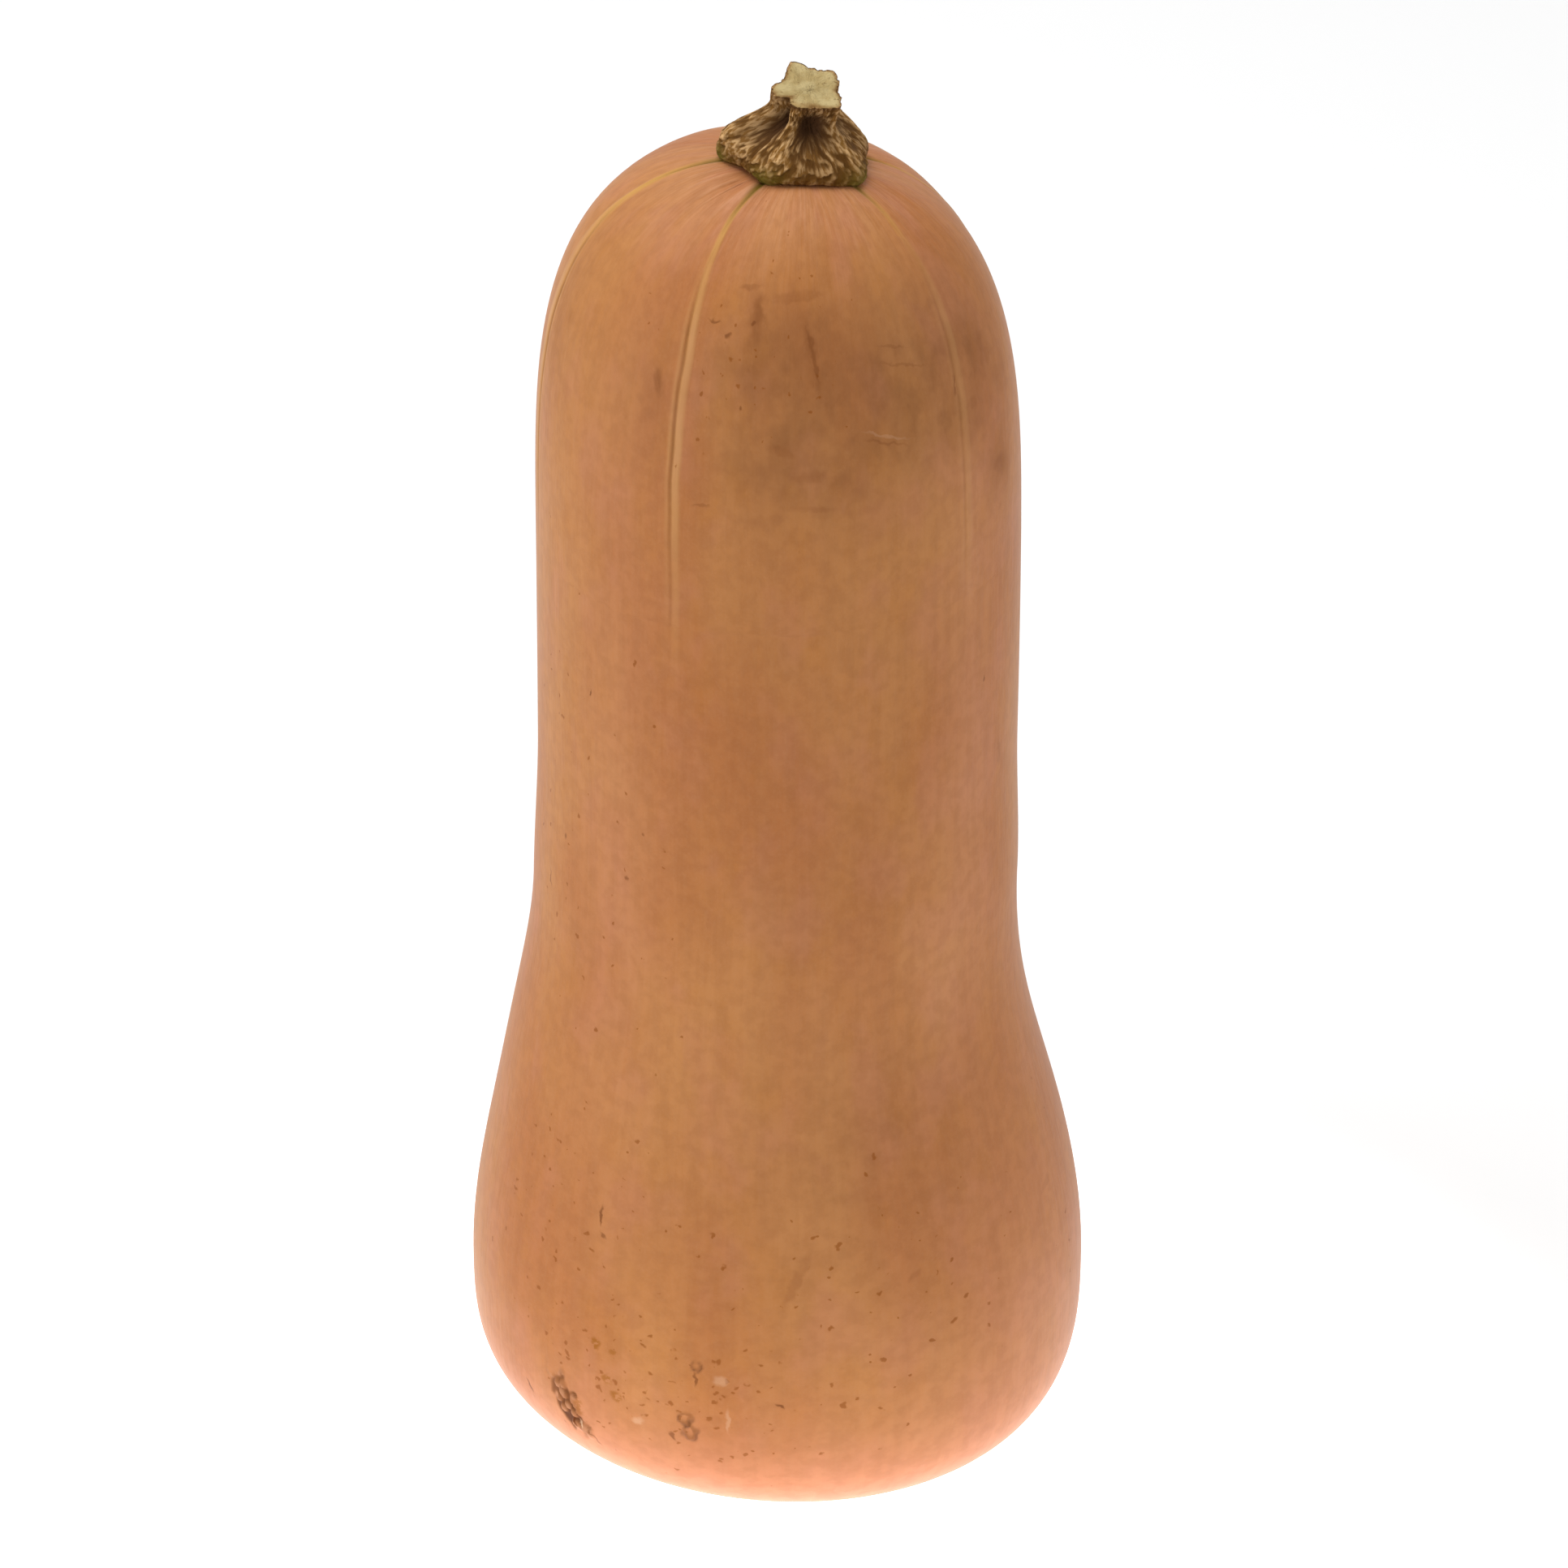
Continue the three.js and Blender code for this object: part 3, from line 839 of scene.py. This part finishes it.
def stem_material(colours):
    """Dried squash stem: corky bark in long wrinkles, pale on the crests and olive brown between, around pale
    pith where it was cut. The pale crests are partly the bark's colour and partly painted highlight, and the
    dark grooves partly painted shade. All of it is dull."""
    material, tree = new_material("dry_stem_cork")
    growth = add_node(tree, "ShaderNodeAttribute", {}, attribute_name="growth").outputs["Vector"]
    share = shares(tree, ("crest", "hollow", "cut", "edge", "rim", "green", "low"))
    place = add_node(tree, "ShaderNodeTexCoord", {}).outputs["Object"]
    flesh_place = add_node(tree, "ShaderNodeMapping", {"Vector": place, "Scale": (1 / MM,) * 3}).outputs[0]
    cloud = masks(tree, growth, {
        "patch": ((1, 1, 0.6), 0.28, 3.0, 0.36, 0.64),
        "fibre": ((1, 1, 0.22), 2.6, 3.0, 0.35, 0.68),
        "crumb": ((1, 1, 0.7), 1.6, 3.5, 0.40, 0.61),
    })
    pith = masks(tree, flesh_place, {
        "cloudy": (EVEN, 0.35, 3.0, 0.4, 0.62),
        "pores": (EVEN, 0.9, 4.0, 0.60, 0.70),
    })
    bark_shows = add_node(tree, "ShaderNodeMath", {0: 1.0, 1: share["cut"]}, operation="SUBTRACT").outputs[0]
    bark = layered(tree, colours.groove, [
        # Pale crests: partly pale bark, partly painted highlight; the groove colour beneath is partly painted
        # shade.
        (share["crest"], colours.bark),
        (share["crest"], cloud["crumb"], 0.95, colours.crest),
        (cloud["patch"], 0.3, colours.groove),
        (cloud["fibre"], 0.25, "#3a2206"),
        (share["low"], 0.66, "#553204"),
        (share["green"], 0.75, colours.green),
        # Painted shade in the hollows under the cut.
        (share["hollow"], 0.9, colours.hollow),
        (share["edge"], 0.7, "#553517"),
    ])
    flesh = layered(tree, colours.pith, [
        (pith["cloudy"], 0.65, "#a38a56"),
        (share["rim"], 0.6, "#94692f"),
        (share["rim"], pith["cloudy"], 0.7, "#6e4a24"),
        (pith["pores"], 0.75, "#6d5328"),
    ])
    colour = layered(tree, flesh, [(bark_shows, bark)])
    rough = between(tree, cloud["crumb"], 0.78, 0.92)
    bump = add_node(tree, "ShaderNodeBump", {"Height": cloud["crumb"], "Strength": 0.6,
                                             "Distance": 0.15 * MM})
    finish(tree, colour, rough, bump.outputs[0], ior=1.25)
    return material


def light_table_material(stage):
    """White opal acrylic of a light table: matt, and glowing from below, most of all around its middle."""
    material, tree = new_material("opal_acrylic")
    place = add_node(tree, "ShaderNodeTexCoord", {}).outputs["Object"]
    far = add_node(tree, "ShaderNodeVectorMath", {0: place, 1: (0, -stage.pool_front, 0)},
                   operation="DISTANCE").outputs["Value"]
    glow = add_node(tree, "ShaderNodeMapRange", {0: far, 2: stage.pool_radius, 3: stage.pool_glow,
                                                 4: stage.floor_glow}, interpolation_type="SMOOTHSTEP")
    shader = add_node(tree, "ShaderNodeBsdfPrincipled", {
        "Base Color": paint(stage.floor), "Roughness": 0.9, "Emission Color": (1, 1, 1, 1),
        "Emission Strength": glow.outputs[0]})
    add_node(tree, "ShaderNodeOutputMaterial", {"Surface": shader.outputs[0]})
    return material


# ---- the stage ----

AIM = (1.2 * MM, 0.0, 130.6 * MM)    # where the camera and the lights point

# Soft boxes: name, azimuth, elevation, distance, width, height, power in watts.
SOFT_BOXES = (
    ("left_box", -55, 12, 1.3, 0.6, 1.2, 5.5),
    ("right_box", 80, 16, 1.4, 0.8, 1.2, 4.5),
    ("top_box", -115, 69, 1.5, 1.6, 1.6, 19.0),
)


def look_at(thing, target, azimuth, elevation, distance):
    """Puts a light or the camera at a distance from target, in the direction of an azimuth and an
    elevation, and turns it towards target."""
    turn, lift = math.radians(azimuth), math.radians(elevation)
    flat = math.cos(lift)
    away = Vector((math.sin(turn) * flat, -math.cos(turn) * flat, math.sin(lift)))
    thing.location = target + distance * away
    thing.rotation_euler = (target - thing.location).to_track_quat("-Z", "Y").to_euler()


def add_light(name, target, azimuth, elevation, distance, width, height, watts):
    """A rectangular soft box aimed at target."""
    lamp = bpy.data.lights.new(name, "AREA")
    lamp.shape = "RECTANGLE"
    lamp.size, lamp.size_y, lamp.energy = width, height, watts
    look_at(new_object(name, lamp), target, azimuth, elevation, distance)


def add_floor(size, material):
    """A plain square floor at the height of the squash's foot."""
    half = size / 2
    mesh = bpy.data.meshes.new("floor")
    mesh.from_pydata([(-half, -half, 0), (half, -half, 0), (half, half, 0), (-half, half, 0)], [],
                     [(0, 1, 2, 3)])
    mesh.materials.append(material)
    floor = new_object("floor", mesh)


def add_camera(stage, target):
    """A long lens looking down at the squash, so that its sides stay nearly parallel."""
    data = bpy.data.cameras.new("camera")
    data.sensor_width, data.lens, data.clip_end = 36.0, stage.lens, 100.0
    camera = new_object("camera", data)
    look_at(camera, target, 0, math.degrees(stage.camera_elevation), stage.camera_distance)
    bpy.context.scene.camera = camera


# ---- settings, operators and panel ----


def length(name, description, default):
    return bpy.props.FloatProperty(name=name, description=description, default=default, min=0.0,
                                   precision=4, subtype="DISTANCE", unit="LENGTH")


def colour(name, description, default):
    return bpy.props.FloatVectorProperty(name=name, description=description, default=linear(default),
                                         subtype="COLOR", size=3, min=0.0, max=1.0)


class SquashFruitSettings(bpy.types.PropertyGroup):
    bulb_radius: length("Bulb radius", "Radius at the widest part", FRUIT_HIGH.x)
    bulb_height: length("Bulb height", "Height of the widest part", 35 * MM)
    foot_radius: length("Foot radius", "Radius of the flat spot it stands on", 19.5 * MM)
    dimple_radius: length("Dimple radius", "Radius of the hollow at the blossom scar", 12 * MM)
    dimple_depth: length("Dimple depth", "Depth of the hollow at the blossom scar", 1.4 * MM)
    waist_radius: length("Waist radius", "Radius just above the bulb", 43 * MM)
    waist_height: length("Waist height", "Height where the bulb ends", 115 * MM)
    neck_radius: length("Neck radius", "Radius of the neck", 42.2 * MM)
    neck_height: length("Neck height", "Height where the neck reaches its radius", 142 * MM)
    shoulder_height: length("Shoulder height", "Height where the dome begins", 177.5 * MM)
    crown_height: length("Crown height", "Height of the dome's top, before the stem's seat",
                         FRUIT_HIGH.z + 0.47 * MM)
    rind: colour("Rind", "Main colour of the skin", "#ad6c3c")
    rind_light: colour("Light rind", "Lighter skin", "#b97d48")
    rind_rosy: colour("Rosy rind", "Pinkish blotches", "#ba795a")
    rind_ochre: colour("Ochre rind", "Yellower blotches", "#b37334")
    # This paler colour paints sheen and light bounced from the floor.
    rind_sheen_and_bounce: colour("Pale rind", "Skin under a waxy bloom", "#cc916e")
    # This colour paints rubbed skin and also shade on the front of the fruit.
    grime_and_shade: colour("Grime", "Rubbed and dirty skin", "#7a4e2f")
    vein: colour("Vein", "Yellow band along a vein", "#cb9a4c")
    vein_line: colour("Vein line", "Dark line beside a vein", "#6b4a14")
    vein_green: colour("Green vein", "Vein close to the stem", "#575012")
    cork: colour("Cork", "Healed scars", "#8f5932")


class SquashStemSettings(bpy.types.PropertyGroup):
    collar_radius: length("Collar radius", "Mean radius of the collar", 11.9 * MM)
    stalk_radius: length("Stalk radius", "Mean radius of the cut face", 5.9 * MM)
    stem_height: length("Stem height", "Height of the cut face over the rind", 12.8 * MM)
    flare_height: length("Flare height", "Height where the flare ends", 9.8 * MM)
    hollow_depth: length("Hollow depth", "How deep the hollows under the cut are", 2.0 * MM)
    lean: length("Lean", "How far the cut face leans to the side", 2.0 * MM)
    cut_slope: bpy.props.FloatProperty(name="Cut slope", default=0.2,
                                       description="Rise of the cut face towards the back")
    bark: colour("Bark", "Main colour of the bark", "#8a5f26")
    # The crest colour is partly painted highlight and the groove colour partly painted shade.
    crest: colour("Crests", "Pale crests of the wrinkles", "#d8ae79")
    groove: colour("Grooves", "Grooves between the wrinkles", "#593708")
    # The hollows' colour is painted shade.
    hollow: colour("Hollows", "Dark hollows under the cut", "#462b14")
    green: colour("Green", "Ridges where they join the rind", "#665f1a")
    pith: colour("Pith", "Cut face", "#bfab7a")


class SquashStageSettings(bpy.types.PropertyGroup):
    floor_size: length("Floor size", "Side of the square floor", 14.0)
    floor: colour("Floor", "Colour of the floor", "#f4f4f4")
    pool_radius: length("Pool radius", "Reach of the brighter pool of light under the squash", 0.18)
    pool_front: length("Pool front", "How far the pool's middle lies in front of the squash's", 0.03)
    pool_glow: bpy.props.FloatProperty(name="Pool glow", default=2.05,
                                       description="Brightness of the light table under the squash")
    floor_glow: bpy.props.FloatProperty(name="Floor glow", default=0.05,
                                        description="Brightness of the light table far from the squash")
    camera_distance: length("Camera distance", "Distance of the camera from the squash", 1.6)
    camera_elevation: bpy.props.FloatProperty(name="Camera elevation", default=math.radians(28),
                                              subtype="ANGLE", unit="ROTATION",
                                              description="How far the camera looks down")
    lens: bpy.props.FloatProperty(name="Lens", default=206.8, subtype="DISTANCE_CAMERA",
                                  unit="CAMERA", description="Focal length")
    ambient: bpy.props.FloatProperty(name="Ambient light", default=0.5,
                                     description="Brightness of the white room")


class SQUASH_OT_fruit(bpy.types.Operator):
    """Makes the fruit's rind with its veins and scars"""

    bl_idname = "squash.fruit"
    bl_label = "Fruit"

    def execute(self, context):
        size = context.scene.squash_fruit
        piece = add_piece(fruit_mesh(size), "squash_fruit", rind_material(size, Outline(size)))
        return {"FINISHED"}


class SQUASH_OT_stem(bpy.types.Operator):
    """Makes the wrinkled stub of the stem with its cut face"""

    bl_idname = "squash.stem"
    bl_label = "Stem"

    def execute(self, context):
        size = context.scene.squash_stem
        mesh = stem_mesh(size, Outline(context.scene.squash_fruit))
        piece = add_piece(mesh, "stem_stub", stem_material(size))
        return {"FINISHED"}


class SQUASH_OT_stage(bpy.types.Operator):
    """Sets up the pale floor, the soft light and the camera"""

    bl_idname = "squash.stage"
    bl_label = "Stage"

    def execute(self, context):
        stage = context.scene.squash_stage
        target = Vector(AIM)
        add_camera(stage, target)
        add_floor(stage.floor_size, light_table_material(stage))
        for name, *place in SOFT_BOXES:
            add_light(name, target, *place)
        world = bpy.data.worlds.new("white_room")
        world.use_nodes = True
        world.node_tree.nodes["Background"].inputs["Color"].default_value = (1, 1, 1, 1)
        world.node_tree.nodes["Background"].inputs["Strength"].default_value = stage.ambient
        context.scene.world = world
        context.scene.view_settings.view_transform = "Standard"
        return {"FINISHED"}


class SQUASH_PT_panel(bpy.types.Panel):
    bl_label = "Butternut Squash"
    bl_idname = "SQUASH_PT_panel"
    bl_space_type = "VIEW_3D"
    bl_region_type = "UI"
    bl_category = "Squash"

    def draw(self, context):
        for operator, group in (("squash.fruit", "squash_fruit"), ("squash.stem", "squash_stem"),
                                ("squash.stage", "squash_stage")):
            box = self.layout.box()
            box.operator(operator)
            settings = getattr(context.scene, group)
            for name in settings.__annotations__:
                box.prop(settings, name)


CLASSES = (SquashFruitSettings, SquashStemSettings, SquashStageSettings,
           SQUASH_OT_fruit, SQUASH_OT_stem, SQUASH_OT_stage, SQUASH_PT_panel)


def register():
    for cls in CLASSES:
        bpy.utils.register_class(cls)
    bpy.types.Scene.squash_fruit = bpy.props.PointerProperty(type=SquashFruitSettings)
    bpy.types.Scene.squash_stem = bpy.props.PointerProperty(type=SquashStemSettings)
    bpy.types.Scene.squash_stage = bpy.props.PointerProperty(type=SquashStageSettings)


def unregister():
    del bpy.types.Scene.squash_fruit, bpy.types.Scene.squash_stem, bpy.types.Scene.squash_stage
    for cls in reversed(CLASSES):
        bpy.utils.unregister_class(cls)


def main():
    """Makes every piece and the stage."""
    register()
    bpy.ops.squash.fruit()
    bpy.ops.squash.stem()
    bpy.ops.squash.stage()
    bpy.context.view_layer.update()


if __name__ == "__main__":
    main()
